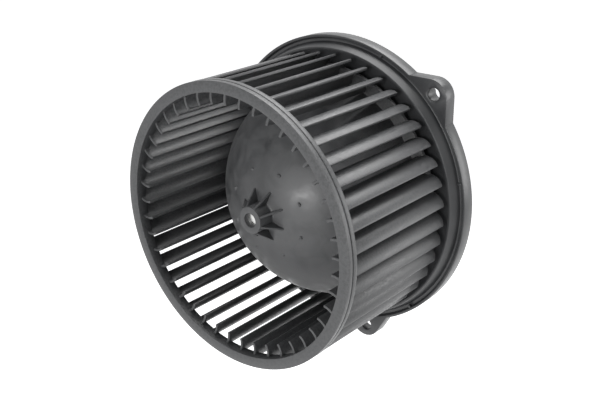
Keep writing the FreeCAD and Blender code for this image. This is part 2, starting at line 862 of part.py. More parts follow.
def brush_spring(label, side):
    """A coil between the brush and the holder's back wall, wound in half turns of leaning arcs."""
    wire = S.spring_wire.value
    low = (brush_inner() + S.brush_length + S.brush_clearance).value + wire
    high = (holder_outer() - S.holder_wall - S.brush_play).value - wire
    halves = 2 * int(S.spring_turns.value)
    step = (high - low) / halves
    reach = S.spring_radius.value
    arcs = []
    for number in range(halves):
        hand = 1 if number % 2 == 0 else -1
        start = FreeCAD.Vector(hand * reach, 0, low + number * step)
        crown = FreeCAD.Vector(0, hand * reach, low + (number + 0.5) * step)
        finish = FreeCAD.Vector(-hand * reach, 0, low + (number + 1) * step)
        arcs.append(Part.Arc(start, crown, finish).toShape())
    section = Part.Wire([Part.makeCircle(wire, FreeCAD.Vector(reach, 0, low), Y_AXIS)])
    coil = Part.Wire(arcs).makePipe(Part.Face(section))
    if side < 0:
        coil.rotate(ORIGIN, Y_AXIS, HALF.value)
    coil.translate(FreeCAD.Vector(0, brush_level().value, 0))
    node = doc.addObject("Part::Feature", label)
    node.Label = label
    node.Shape = coil
    return node


def choke(label, side):
    """A ferrite rod with its winding, lying beside the holders on the card's front."""
    coil = doc.addObject("Part::Cylinder", label)
    coil.Label = label
    coil.setExpression("Radius", S.choke_radius.text)
    coil.setExpression("Height", S.choke_length.text)
    coil.setExpression("Placement.Base.x", (side * S.choke_circle).text)
    coil.setExpression("Placement.Base.y", (card_front() - S.choke_radius).text)
    coil.setExpression("Placement.Base.z", (-S.choke_length / 2).text)
    return coil


def suppressor_capacitor():
    """A small flat capacitor standing on the card's rear."""
    block = doc.addObject("Part::Box", "suppressor_capacitor")
    block.Label = "suppressor_capacitor"
    block.setExpression("Length", S.capacitor_width.text)
    block.setExpression("Width", S.capacitor_thick.text)
    block.setExpression("Height", S.capacitor_height.text)
    block.setExpression("Placement.Base.x", (-S.capacitor_width / 2).text)
    block.setExpression("Placement.Base.y", (card_front() + S.card_thick).text)
    block.setExpression("Placement.Base.z", (-S.choke_circle - S.capacitor_height / 2).text)
    return block


# Mounting flange, one moulding: lip, trough, rim, ears, webs, sleeve and posts

def sleeve_bore():
    return S.can_radius + S.rubber_thick


def ear_middle():
    """Radius of the centre of an ear's round end."""
    return S.rim_radius + S.ear_reach - S.ear_round


def ear_outline(inset, base):
    """An ear's corners, moved in by the inset: straight flanks lead from the base to its round end."""
    end = S.ear_round - inset
    end_x = end * cosine(S.ear_flare)
    end_y = ear_middle() + end * sine(S.ear_flare)
    base_x = (end + (ear_middle() - base) * sine(S.ear_flare)) / cosine(S.ear_flare)
    return [
        (base_x, base),
        (end_x, end_y),
        Bend(-end_x, end_y, ZERO, ear_middle(), left=True),
        (-base_x, base),
    ]


def ear_base():
    """Level where an ear's flanks touch the rim."""
    off = S.ear_round + ear_middle() * sine(S.ear_flare)
    return off * sine(S.ear_flare) + root(S.rim_radius * S.rim_radius - off * off) * cosine(S.ear_flare)


def mounting_flange():
    flange = new_body("mounting_flange")
    wall = S.moulded_wall
    lip_inner = S.lip_radius - S.lip_width
    skirt_inner = S.rim_radius - wall
    floor = S.trough_depth
    bore = sleeve_bore()
    sleeve = bore + wall
    stop = bore - S.stop_width
    turned(flange, [
        (bore, -S.sleeve_reach + wall), (bore, S.sleeve_back),
        (sleeve, S.sleeve_back), (sleeve, ZERO),
        (lip_inner, ZERO), (S.trough_inner - wall / 2, floor + wall),
        (skirt_inner, floor + wall), (skirt_inner, S.rim_depth),
        (S.rim_radius, S.rim_depth), (S.rim_radius, ZERO), (S.rim_radius - S.rim_edge, ZERO),
        (S.trough_outer, floor), (S.trough_inner, floor),
        (S.lip_radius, -S.lip_reach), (lip_inner, -S.lip_reach), (lip_inner, -wall),
        (sleeve, -wall), (sleeve, -S.sleeve_reach),
        (stop, -S.sleeve_reach), (stop, -S.sleeve_reach + wall),
    ])

    # Each ear is a plate with the skirt carried round it, hollow behind, and a screw hole.
    ear_turn = S.ear_phase + 270
    sketch = across(flange, ZERO, turn=ear_turn)
    outline(sketch, ear_outline(ZERO, ear_base()))
    around(flange, raised(flange, sketch, S.rim_depth), S.ear_count)
    sketch = across(flange, S.ear_plate, turn=ear_turn)
    outline(sketch, ear_outline(wall, S.rim_radius))
    around(flange, sunk(flange, sketch, S.rim_depth), S.ear_count)
    sketch = across(flange, ZERO, turn=ear_turn)
    circle(sketch, ZERO, S.rim_radius + S.screw_reach, S.screw_hole)
    around(flange, sunk(flange, sketch, S.ear_plate), S.ear_count)

    # Webs stiffen the plate from the sleeve to the skirt.
    bite = wall / 2
    sketch = new_sketch(flange, "XY_Plane")
    outline(sketch, [
        (sleeve - bite, -bite), (lip_inner - bite / 2, -bite),
        (S.trough_inner - bite, floor + bite), (skirt_inner + bite, floor + bite),
        (skirt_inner + bite, S.web_depth), (sleeve - bite, S.web_rise),
    ])
    web = feature(flange, "Pad", sketch)
    web.SideType = "Symmetric"
    web.setExpression("Length", S.web_thick.text)
    around(flange, web, S.web_count)

    # Posts for the cover's screws stand on the plate.
    sketch = across(flange, -bite, turn=S.post_phase)
    circle(sketch, S.post_circle, ZERO, S.post_radius)
    around(flange, raised(flange, sketch, lug_front() + bite), S.post_count)
    sketch = across(flange, lug_front() - S.thread_depth - S.sheet_thick, turn=S.post_phase)
    circle(sketch, S.post_circle, ZERO, S.post_hole)
    around(flange, sunk(flange, sketch, S.thread_depth + S.sheet_thick), S.post_count)
    return flange


def rubber_ring(label, low):
    """A rubber ring between the can and the sleeve."""
    rubber = new_body(label)
    ring(rubber, S.can_radius, sleeve_bore(), low, low + S.rubber_length)
    return rubber


# Rear cover, one moulding: cap, lugs, air slots and socket

def lug_front():
    """The lugs lie level with the cover's open edge."""
    return S.sleeve_back - S.cover_lap


def rear_cover():
    cover = new_body("rear_cover")
    wall = S.cover_wall
    inner = sleeve_bore() + S.moulded_wall + S.cover_fit
    outer = inner + wall
    back = S.cover_back
    edge = S.cover_round
    spigot = sleeve_bore() - S.stop_width
    ring_back = S.rubber_step + S.rubber_length
    turned(cover, [
        (ZERO, back - wall), (spigot, back - wall), (spigot, ring_back),
        (sleeve_bore(), ring_back), (sleeve_bore(), S.sleeve_back), (inner, S.sleeve_back),
        (inner, lug_front()), (outer, lug_front()),
        (outer, back - edge), Bend(outer - edge, back, outer - edge, back - edge, left=True),
        (ZERO, back),
    ])
    far = S.post_circle
    half = S.post_radius
    sketch = across(cover, lug_front(), turn=S.post_phase)
    outline(sketch, [
        (inner + wall / 2, -half), (far, -half),
        Bend(far, half, far, ZERO, left=True), (inner + wall / 2, half),
    ])
    around(cover, raised(cover, sketch, S.lug_thick), S.post_count)
    sketch = across(cover, lug_front(), turn=S.post_phase)
    circle(sketch, far, ZERO, S.lug_hole)
    around(cover, sunk(cover, sketch, S.lug_thick), S.post_count)

    # Air slots let the motor's cooling air out below the axis.
    span = S.slot_pitch * (S.slot_vents - 1)
    sketch = across(cover, back - wall)
    left = -span / 2 - S.slot_width / 2
    low = -S.slot_drop - S.slot_length / 2
    rectangle(sketch, left, low, left + S.slot_width, low + S.slot_length)
    slot = sunk(cover, sketch, wall)
    row_of_slots = cover.newObject("PartDesign::LinearPattern", "LinearPattern")
    row_of_slots.Originals = [slot]
    row_of_slots.Direction = (datum(cover, "X_Axis"), [""])
    row_of_slots.setExpression("Length", span.text)
    row_of_slots.setExpression("Occurrences", S.slot_vents.text)
    cover.Tip = row_of_slots

    # The socket's shroud, its hollow, and the slits that hold the terminals.
    wide = S.socket_width / 2
    high = S.socket_height / 2
    rise = S.socket_rise
    sketch = across(cover, back - wall / 2)
    rectangle(sketch, -wide, rise - high, wide, rise + high)
    raised(cover, sketch, S.socket_depth + wall / 2)
    thin = S.socket_wall
    sketch = across(cover, back)
    rectangle(sketch, -wide + thin, rise - high + thin, wide - thin, rise + high - thin)
    sunk(cover, sketch, S.socket_depth)
    for side in (-1, 1):
        sketch = across(cover, back - wall)
        left = side * S.terminal_spread - S.terminal_width / 2
        low = rise - S.terminal_thick / 2
        rectangle(sketch, left, low, left + S.terminal_width, low + S.terminal_thick)
        sunk(cover, sketch, wall)
    return cover


def terminal(label, side):
    """A flat blade through the cover's end wall."""
    blade = doc.addObject("Part::Box", label)
    blade.Label = label
    blade.setExpression("Length", S.terminal_width.text)
    blade.setExpression("Width", (S.terminal_root + S.cover_wall + S.terminal_back).text)
    blade.setExpression("Height", S.terminal_thick.text)
    left = side * S.terminal_spread - S.terminal_width / 2
    blade.setExpression("Placement.Base.x", left.text)
    blade.setExpression("Placement.Base.y", (S.cover_back - S.cover_wall - S.terminal_root).text)
    blade.setExpression("Placement.Base.z", (S.socket_rise - S.terminal_thick / 2).text)
    return blade


def cover_screws():
    """Pan-head screws through the lugs, each in its post's hole. Their thread is left out."""
    seat = lug_front() + S.lug_thick
    reach = S.lug_thick + S.thread_depth
    at = FreeCAD.Vector(S.post_circle.value, seat.value, 0)
    shank = Part.makeCylinder(S.post_hole.value, reach.value, at, -Y_AXIS)
    head = Part.makeCylinder(S.screw_head.value, S.head_height.value, at, Y_AXIS)
    top = [edge for edge in head.Edges if edge.BoundBox.YMin > seat.value]
    head = head.makeFillet(S.head_height.value / 3, top)
    return copies_around("cover_screws", head.fuse(shank), S.post_count, S.post_phase)


# The whole motor

NODES = [
    mounting_flange(),
    motor_can(),
    rubber_ring("rubber_ring_front", -S.sleeve_reach + S.moulded_wall),
    rubber_ring("rubber_ring_rear", S.rubber_step),
    magnet("magnet_right", ZERO),
    magnet("magnet_left", HALF),
    magnet_clip("magnet_clip_upper", HALF / 2),
    magnet_clip("magnet_clip_lower", HALF + HALF / 2),
    bearing("front_bearing", nose_front() + S.can_wall),
    oil_felt(),
    front_bearing_retainer(),
    end_plate(),
    bearing("rear_bearing", rear_bearing_front()),
    rear_bearing_retainer(),
    brush_card(),
    brush_holder("brush_holder_upper", 1),
    brush_holder("brush_holder_lower", -1),
    brush("brush_upper", 1),
    brush("brush_lower", -1),
    brush_spring("brush_spring_upper", 1),
    brush_spring("brush_spring_lower", -1),
    choke("choke_right", 1),
    choke("choke_left", -1),
    suppressor_capacitor(),
    rear_cover(),
    cover_screws(),
    terminal("terminal_right", 1),
    terminal("terminal_left", -1),
    fan_wheel(),
    motor_shaft(),
    armature_core(),
    insulator("insulator_front", stack_front() - S.paper_thick),
    insulator("insulator_rear", -S.core_back),
    armature_windings(),
    commutator_hub(),
    commutator_bars(),
    thrust_washers(),
    oil_slinger(),
]

doc.recompute()

for item in doc.Objects:
    if "Invalid" in item.State or "Error" in item.State:
        raise RuntimeError("%s failed: %s" % (item.Name, item.State))
for base, cut in CUTS:
    if not cut.Shape.Volume < base.Shape.Volume:
        raise RuntimeError("%s takes nothing away from %s" % (cut.Name, base.Name))
for node in NODES:
    if node.Shape.isNull() or not node.Shape.isValid():
        raise RuntimeError("%s has no valid shape" % node.Label)

os.makedirs("parts", exist_ok=True)
for node in NODES:
    node.Shape.exportStep(os.path.join("parts", node.Label + ".step"))
    print("%-24s %8.1f cubic mm, %d solid(s)" % (node.Label, node.Shape.Volume, len(node.Shape.Solids)))
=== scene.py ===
import math

import bpy
from mathutils import Matrix, Vector


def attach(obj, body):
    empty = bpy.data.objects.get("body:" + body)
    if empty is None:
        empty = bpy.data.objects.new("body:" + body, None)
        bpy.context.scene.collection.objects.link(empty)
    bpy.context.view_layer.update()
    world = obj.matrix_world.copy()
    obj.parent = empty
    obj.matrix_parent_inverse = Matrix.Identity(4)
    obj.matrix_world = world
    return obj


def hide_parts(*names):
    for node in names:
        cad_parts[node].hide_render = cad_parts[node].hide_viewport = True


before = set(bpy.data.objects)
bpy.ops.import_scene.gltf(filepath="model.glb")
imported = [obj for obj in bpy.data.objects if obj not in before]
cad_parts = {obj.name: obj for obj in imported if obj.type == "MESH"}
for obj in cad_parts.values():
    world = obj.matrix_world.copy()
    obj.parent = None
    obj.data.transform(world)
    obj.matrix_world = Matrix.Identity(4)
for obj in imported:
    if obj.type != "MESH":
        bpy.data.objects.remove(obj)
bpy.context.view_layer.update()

# Sizes are written in millimetres and the scene is in metres.
MM = 0.001

# Camera. It stands before the wheel's mouth, to the right and above, with a long lens, so that
# the rings of the wheel and the flange lie on each other as they do in the photograph.

view_forward = Vector((-0.5977, 0.7044, -0.3830)).normalized()
view_right = view_forward.cross(Vector((0, 0, 1))).normalized()
view_turn = Matrix((view_right, view_right.cross(view_forward), -view_forward)).transposed()
camera_data = bpy.data.cameras.new("camera")
camera_data.sensor_width = 36
camera_data.lens = 55.2
camera_data.clip_start = 0.01
camera_place = Vector((295.8, -380.2, 188.4)) * MM
camera = bpy.data.objects.new("camera", camera_data)
camera.matrix_world = Matrix.Translation(camera_place) @ view_turn.to_4x4()
bpy.context.scene.collection.objects.link(camera)
bpy.context.scene.camera = camera

# Motor can. A cup drawn from mild steel sheet, zinc plated and passivated to a dull grey.
# Rubber rings hold it in the flange's sleeve, and the end plate is pressed into its open end.


def finish(name, dark, light, rough, spread=0.06, cloud=60.0, grain=900.0, bump=0.05,
           metallic=0.0, draw=(1, 1, 1)):
    """Two shades mixed in soft clouds, with fine grain in the gloss and the relief.

    cloud and grain are the scales of the two patterns, and bump is the grain's height in
    millimetres. draw below 1 pulls the pattern out along an axis and above 1 squeezes it, as
    rolling, turning or grinding does.
    """
    material = bpy.data.materials.new(name)
    material.use_nodes = True
    nodes = material.node_tree.nodes
    links = material.node_tree.links
    shader = nodes["Principled BSDF"]
    shader.inputs["Metallic"].default_value = metallic
    place = nodes.new("ShaderNodeTexCoord")
    mapping = nodes.new("ShaderNodeMapping")
    mapping.inputs["Scale"].default_value = draw
    links.new(place.outputs["Object"], mapping.inputs["Vector"])
    clouds = nodes.new("ShaderNodeTexNoise")
    clouds.name = "clouds"
    clouds.inputs["Scale"].default_value = cloud
    clouds.inputs["Detail"].default_value = 4
    links.new(mapping.outputs["Vector"], clouds.inputs["Vector"])
    shades = nodes.new("ShaderNodeValToRGB")
    shades.name = "shades"
    shades.color_ramp.elements[0].position = 0.35
    shades.color_ramp.elements[0].color = (*dark, 1)
    shades.color_ramp.elements[1].position = 0.65
    shades.color_ramp.elements[1].color = (*light, 1)
    links.new(clouds.outputs["Fac"], shades.inputs["Fac"])
    links.new(shades.outputs["Color"], shader.inputs["Base Color"])
    grains = nodes.new("ShaderNodeTexNoise")
    grains.name = "grains"
    grains.inputs["Scale"].default_value = grain
    grains.inputs["Detail"].default_value = 3
    links.new(mapping.outputs["Vector"], grains.inputs["Vector"])
    gloss = nodes.new("ShaderNodeMapRange")
    gloss.name = "gloss"
    gloss.inputs["To Min"].default_value = rough - spread
    gloss.inputs["To Max"].default_value = rough + spread
    links.new(grains.outputs["Fac"], gloss.inputs["Value"])
    links.new(gloss.outputs["Result"], shader.inputs["Roughness"])
    relief = nodes.new("ShaderNodeBump")
    relief.name = "relief"
    relief.inputs["Strength"].default_value = 1
    relief.inputs["Distance"].default_value = bump * MM
    links.new(grains.outputs["Fac"], relief.inputs["Height"])
    links.new(relief.outputs["Normal"], shader.inputs["Normal"])
    return material


def banded(material, axis, pitch, depth, shade=0.5):
    """Adds even bands: the turns of a winding, stacked sheets or turning marks.

    The bands follow each other along an axis, or out from the shaft for "R". pitch and depth
    are in millimetres, and shade says how dark it gets between them.
    """
    nodes = material.node_tree.nodes
    links = material.node_tree.links
    shader = nodes["Principled BSDF"]
    place = nodes.new("ShaderNodeTexCoord")
    bands = nodes.new("ShaderNodeTexWave")
    if axis == "R":
        bands.wave_type = "RINGS"
        bands.rings_direction = "Y"
    else:
        bands.bands_direction = axis
    # At scale 1 the bands are a tenth of pi apart.
    bands.inputs["Scale"].default_value = math.pi / (10 * pitch * MM)
    links.new(place.outputs["Object"], bands.inputs["Vector"])
    ridge = nodes.new("ShaderNodeBump")
    ridge.inputs["Strength"].default_value = 1
    ridge.inputs["Distance"].default_value = depth * MM
    links.new(bands.outputs["Fac"], ridge.inputs["Height"])
    links.new(nodes["relief"].outputs["Normal"], ridge.inputs["Normal"])
    links.new(ridge.outputs["Normal"], shader.inputs["Normal"])
    lines = nodes.new("ShaderNodeMix")
    lines.data_type = "RGBA"
    lines.blend_type = "MULTIPLY"
    fade = nodes.new("ShaderNodeMapRange")
    fade.inputs["To Min"].default_value = shade
    fade.inputs["To Max"].default_value = 0
    links.new(bands.outputs["Fac"], fade.inputs["Value"])
    links.new(fade.outputs["Result"], lines.inputs["Factor"])
    links.new(nodes["shades"].outputs["Color"], lines.inputs["A"])
    lines.inputs["B"].default_value = (0.1, 0.1, 0.1, 1)
    links.new(lines.outputs["Result"], shader.inputs["Base Color"])
    return material


def dress(material, *names):
    """Puts a finish on CAD nodes, whose shape is right as it is."""
    for name in names:
        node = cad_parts[name]
        node.data.materials.clear()
        node.data.materials.append(material)


zinc = finish("zinc_plate", (0.40, 0.41, 0.40), (0.52, 0.53, 0.51), 0.38, cloud=90,
              grain=1500, bump=0.01, metallic=1, draw=(1, 0.25, 1))
dress(zinc, "motor_can")

# Rubber rings. Moulded black rubber between the can and the sleeve, one at each end, which keep
# the motor's hum out of the heater. They are pushed on dry and stay matt.

rubber = finish("black_rubber", (0.018, 0.018, 0.019), (0.030, 0.030, 0.031), 0.78,
                cloud=200, grain=2500, bump=0.03)
dress(rubber, "rubber_ring_front", "rubber_ring_rear")

# Field magnets. Two arcs of hard ferrite, ground on their faces, held against the can by two
# bowed clips of spring steel that push their edges apart.

ferrite = finish("ground_ferrite", (0.055, 0.055, 0.058), (0.10, 0.10, 0.105), 0.55,
                 cloud=300, grain=3000, bump=0.04)
dress(banded(ferrite, "Y", 0.45, 0.006, shade=0.2), "magnet_right", "magnet_left")
spring_steel = finish("spring_steel", (0.26, 0.26, 0.27), (0.38, 0.38, 0.40), 0.34,
                      cloud=150, grain=1800, bump=0.008, metallic=1, draw=(1, 0.3, 1))
dress(spring_steel, "magnet_clip_upper", "magnet_clip_lower")

# Bearings. Porous bronze bushes soaked in oil, each under a spring washer, with a felt ring
# round the front one that feeds it.

bronze = finish("sintered_bronze", (0.30, 0.18, 0.08), (0.46, 0.30, 0.15), 0.46, spread=0.12,
                cloud=500, grain=4000, bump=0.05, metallic=1)
dress(bronze, "front_bearing", "rear_bearing")
dress(spring_steel, "front_bearing_retainer", "rear_bearing_retainer")
felt = finish("oiled_felt", (0.28, 0.24, 0.16), (0.50, 0.45, 0.34), 0.92, spread=0.05,
              cloud=700, grain=2600, bump=0.25)
felt.node_tree.nodes["Principled BSDF"].inputs["Sheen Weight"].default_value = 0.3
dress(felt, "oil_felt")

# Armature. A stack of slotted steel sheets on the ground shaft, wound with enamelled copper,
# with a fibre disc at each end that keeps the wire off the steel.

shaft_steel = finish("ground_steel", (0.60, 0.60, 0.59), (0.72, 0.72, 0.70), 0.22, spread=0.05,
                     cloud=120, grain=2500, bump=0.004, metallic=1, draw=(1, 6, 1))
dress(shaft_steel, "motor_shaft", "oil_slinger")
sheets = finish("stacked_sheets", (0.17, 0.17, 0.18), (0.28, 0.28, 0.29), 0.42,
                cloud=120, grain=1500, bump=0.01, metallic=1)
dress(banded(sheets, "Y", 0.5, 0.03, shade=0.55), "armature_core")
fibre = finish("pressed_fibre", (0.38, 0.32, 0.20), (0.52, 0.45, 0.31), 0.74,
               cloud=250, grain=2200, bump=0.04)
dress(fibre, "insulator_front", "insulator_rear")
enamel = finish("enamelled_wire", (0.42, 0.14, 0.05), (0.64, 0.26, 0.10), 0.30,
                cloud=220, grain=1800, bump=0.02, metallic=0.75)
dress(banded(enamel, "R", 0.55, 0.12, shade=0.8), "armature_windings")

# Commutator. Twelve bars of hard copper on a moulded resin hub, turned true, with the dark
# track of the brushes on them. Fibre washers take up the end play.

resin = finish("moulded_resin", (0.035, 0.020, 0.014), (0.060, 0.036, 0.024), 0.5,
               cloud=300, grain=2000, bump=0.02)
dress(resin, "commutator_hub")
bars = finish("worn_copper", (0.42, 0.19, 0.10), (0.70, 0.37, 0.22), 0.30,
              cloud=160, grain=2600, bump=0.01, metallic=1, draw=(1, 5, 1))
dress(banded(bars, "Y", 0.3, 0.006, shade=0.3), "commutator_bars")
washer_fibre = finish("washer_fibre", (0.22, 0.13, 0.06), (0.34, 0.22, 0.12), 0.7,
                      cloud=300, grain=2200, bump=0.03)
dress(washer_fibre, "thrust_washers")

# Brush gear. A card of phenolic paper carries two folded brass boxes, in which springs push
# blocks of copper graphite on to the commutator, and two chokes and a capacitor against noise.

card = finish("phenolic_card", (0.16, 0.075, 0.03), (0.24, 0.125, 0.055), 0.48,
              cloud=90, grain=1600, bump=0.015, draw=(1, 1, 4))
dress(card, "brush_card")
brass = finish("folded_brass", (0.52, 0.38, 0.16), (0.68, 0.52, 0.25), 0.32,
               cloud=120, grain=1800, bump=0.008, metallic=1, draw=(0.3, 1, 1))
dress(brass, "brush_holder_upper", "brush_holder_lower")
carbon = finish("copper_graphite", (0.030, 0.029, 0.029), (0.085, 0.066, 0.055), 0.58,
                cloud=900, grain=3500, bump=0.03)
dress(carbon, "brush_upper", "brush_lower")
dress(spring_steel, "brush_spring_upper", "brush_spring_lower")
choke_wire = finish("choke_wire", (0.46, 0.17, 0.07), (0.66, 0.30, 0.14), 0.28,
                    cloud=220, grain=1800, bump=0.01, metallic=0.8)
dress(banded(choke_wire, "Z", 0.7, 0.25, shade=0.85), "choke_right", "choke_left")
lacquer = finish("dipped_lacquer", (0.24, 0.07, 0.02), (0.34, 0.12, 0.035), 0.18,
                 cloud=140, grain=500, bump=0.08)
lacquer.node_tree.nodes["Principled BSDF"].inputs["Coat Weight"].default_value = 0.5
dress(lacquer, "suppressor_capacitor")

# End plate. Pressed from steel sheet, zinc plated with a yellowed tint, staked into the can
# with the rear bearing in its middle and six vents round it.

yellow_zinc = finish("yellow_zinc", (0.42, 0.38, 0.27), (0.56, 0.53, 0.44), 0.36,
                     cloud=60, grain=1500, bump=0.01, metallic=1)
dress(yellow_zinc, "end_plate")

# Mounting flange. One moulding in black glass-filled plastic: a lip that goes into the heater
# housing, a trough, a rim with three screw ears, and webs, posts and a sleeve behind.


def arc(centre, radius, start, end, count):
    """Points on an arc between two angles in degrees, both ends among them."""
    points = []
    for number in range(count + 1):
        angle = math.radians(start + (end - start) * number / count)
        points.append((centre[0] + radius * math.cos(angle), centre[1] + radius * math.sin(angle)))
    return points


def begin(name, place):
    """One vertex at a place, in edit mode, in a new object with its origin at zero."""
    bpy.ops.object.select_all(action="DESELECT")
    bpy.ops.mesh.primitive_plane_add(size=MM, location=place)
    piece = bpy.context.object
    piece.name = name
    piece.data.name = name
    bpy.ops.object.transform_apply(location=True)
    bpy.ops.object.mode_set(mode="EDIT")
    bpy.ops.mesh.select_mode(type="VERT")
    bpy.ops.mesh.select_all(action="SELECT")
    bpy.ops.mesh.merge(type="CENTER")
    return piece


def draw_line(points, closed=True):
    """Extrudes the selected vertex from point to point, each in metres."""
    stops = points + points[:1] if closed else points
    for here, there in zip(stops, stops[1:]):
        step = Vector(there) - Vector(here)
        bpy.ops.mesh.extrude_vertices_move(TRANSFORM_OT_translate={"value": step})
    bpy.ops.mesh.select_all(action="SELECT")
    bpy.ops.mesh.remove_doubles(threshold=0.01 * MM)


def pick(piece, kind, test):
    """Selects the vertices, edges or polygons that a test is true for, and no others."""
    bpy.ops.mesh.select_all(action="DESELECT")
    bpy.ops.mesh.select_mode(type={"vertices": "VERT", "edges": "EDGE", "polygons": "FACE"}[kind])
    bpy.ops.object.mode_set(mode="OBJECT")
    for item in getattr(piece.data, kind):
        item.select = bool(test(item))
    bpy.ops.object.mode_set(mode="EDIT")


def spun(name, section, steps, soft=0.25):
    """Draws a section in millimetres as (radius, height), softens its corners and spins it."""
    least_corner = math.radians(22)
    points = [(x * MM, y * MM, 0) for x, y in section]
    piece = begin(name, points[0])
    draw_line(points)
    corners = set()
    for number, point in enumerate(points):
        before = Vector(points[number - 1]) - Vector(point)
        after = Vector(points[(number + 1) % len(points)]) - Vector(point)
        on_axis = abs(point[0]) < 0.1 * MM
        if math.pi - before.angle(after) > least_corner and not on_axis:
            corners.add(tuple(round(value / MM, 2) for value in point))
    pick(piece, "vertices", lambda v: tuple(round(value / MM, 2) for value in v.co) in corners)
    bpy.ops.mesh.bevel(offset=soft * MM, segments=2, affect="VERTICES")
    bpy.ops.mesh.select_all(action="SELECT")
    bpy.ops.mesh.spin(steps=steps, angle=2 * math.pi, center=(0, 0, 0), axis=(0, 1, 0))
    bpy.ops.mesh.select_all(action="SELECT")
    bpy.ops.mesh.remove_doubles(threshold=0.005 * MM)
    bpy.ops.mesh.normals_make_consistent(inside=False)
    bpy.ops.object.mode_set(mode="OBJECT")
    return piece


def slab(name, outline, front, depth):
    """A plate with an outline in millimetres as (x, z), from its front towards the rear."""
    points = [(x * MM, front * MM, z * MM) for x, z in outline]
    piece = begin(name, points[0])
    draw_line(points)
    bpy.ops.mesh.edge_face_add()
    bpy.ops.mesh.extrude_region_move(TRANSFORM_OT_translate={"value": (0, depth * MM, 0)})
    bpy.ops.mesh.select_all(action="SELECT")
    bpy.ops.mesh.normals_make_consistent(inside=False)
    bpy.ops.object.mode_set(mode="OBJECT")
    return piece


def modify(piece, kind, **settings):
    """Adds a modifier and applies it."""
    bpy.ops.object.select_all(action="DESELECT")
    bpy.context.view_layer.objects.active = piece
    piece.select_set(True)
    modifier = piece.modifiers.new(kind.lower(), kind)
    for key, value in settings.items():
        setattr(modifier, key, value)
    bpy.ops.object.modifier_apply(modifier=modifier.name)


def soften(piece, width):
    """Rounds the sharp edges of a piece, by a width in millimetres."""
    modify(piece, "BEVEL", width=width * MM, segments=2, limit_method="ANGLE",
           angle_limit=math.radians(40))


def fin(name, outline, thickness, soft):
    """An upright plate on the X axis, with an outline in millimetres as (radius, height)."""
    piece = slab(name, outline, 0, thickness)
    piece.data.transform(Matrix.Translation((0, 0, thickness / 2 * MM))
                         @ Matrix.Rotation(math.radians(-90), 4, "X"))
    soften(piece, soft)
    return piece


def turn_about(piece, degrees):
    """Turns a piece about the shaft's axis, from X towards Z, in its mesh."""
    piece.data.transform(Matrix.Rotation(-math.radians(degrees), 4, "Y"))


def join(piece, others):
    """Joins other pieces to a piece, as one moulding."""
    bpy.ops.object.select_all(action="DESELECT")
    for other in others:
        other.select_set(True)
    piece.select_set(True)
    bpy.context.view_layer.objects.active = piece
    bpy.ops.object.join()


def turned_copy(piece, degrees):
    """A copy of a piece with its own mesh, turned about the shaft's axis."""
    other = piece.copy()
    other.data = piece.data.copy()
    bpy.context.scene.collection.objects.link(other)
    turn_about(other, degrees)
    return other


def copies_about(piece, count):
    """Joins copies of a piece to it, evenly about the shaft's axis."""
    join(piece, [turned_copy(piece, 360 * number / count) for number in range(1, count)])


def smooth(piece):
    """Shades a piece smooth where its faces meet at less than 32 degrees."""
    bpy.ops.object.select_all(action="DESELECT")
    piece.select_set(True)
    bpy.context.view_layer.objects.active = piece
    bpy.ops.object.shade_smooth_by_angle(angle=math.radians(32))


# Radii and heights of the turned part. Heights count from the ears' front faces to the rear.
rim = 82.6
rim_wall = 2.4
rim_depth = 7.6
trough_edge = 81.2
trough_floor = 2
lip = 76.7
lip_front = -4.2
lip_inside = 75.2
trough_back = 77.7
trough_rear = 4.4
plate_front = -2.4
sleeve = 36.9
sleeve_bore = 34.5
sleeve_front = -26
sleeve_rear = 24
stop_bore = 32.3
stop_rear = -23.6
flange = spun("flange_moulding", [
    (sleeve_bore, stop_rear), (sleeve_bore, sleeve_rear), (sleeve, sleeve_rear), (sleeve, 0),
    (lip_inside, 0), (trough_back, trough_rear), (rim - rim_wall, trough_rear),
    (rim - rim_wall, rim_depth), (rim, rim_depth), (rim, 0), (trough_edge, 0),
    (trough_edge - 0.7, trough_floor), (lip + 2.2, trough_floor), (lip, lip_front),
    (lip_inside, lip_front), (lip_inside, plate_front), (sleeve, plate_front),
    (sleeve, sleeve_front), (stop_bore, sleeve_front), (stop_bore, stop_rear),
], 288)

# An ear: straight flanks lead from inside the rim's wall to a round end about the screw hole.
# It is hollow behind, and the hole's mouth is rounded. It stands a hair proud of the rim.
ears = 3
ear_turn = 45.7
ear_middle = 83.4
ear_round = 9.58
ear_wall = 2.4
ear_hollow = 5
ear_foot = 81.6
proud = 0.02
screw_circle = 86
hole = 3.3
hole_rounding = 0.9
flank = math.sqrt(0.5)
flank_offset = ear_round + ear_middle * flank
flank_reach = math.sqrt(ear_foot ** 2 - flank_offset ** 2)
half_foot = math.degrees(math.atan2(flank_offset - flank_reach, flank_offset + flank_reach))
ear_outline = arc((0, ear_middle), ear_round, 45, 135, 18)
ear_outline += arc((0, 0), ear_foot, 90 + half_foot, 90 - half_foot, 8)
ear = slab("ear", ear_outline, -proud, rim_depth + proud)
bpy.ops.object.mode_set(mode="EDIT")
pick(ear, "polygons", lambda face: face.normal.y > 0.9)
bpy.ops.mesh.inset(thickness=ear_wall * MM)
bpy.ops.mesh.extrude_region_move(TRANSFORM_OT_translate={"value": (0, -ear_hollow * MM, 0)})
bpy.ops.object.mode_set(mode="OBJECT")
bpy.ops.object.select_all(action="DESELECT")
bpy.ops.mesh.primitive_cylinder_add(vertices=48, radius=hole * MM, depth=30 * MM,
                                    location=(0, 0, screw_circle * MM),
                                    rotation=(math.pi / 2, 0, 0))
drill = bpy.context.object
modify(ear, "BOOLEAN", operation="DIFFERENCE", object=drill, solver="EXACT")
bpy.data.objects.remove(drill)


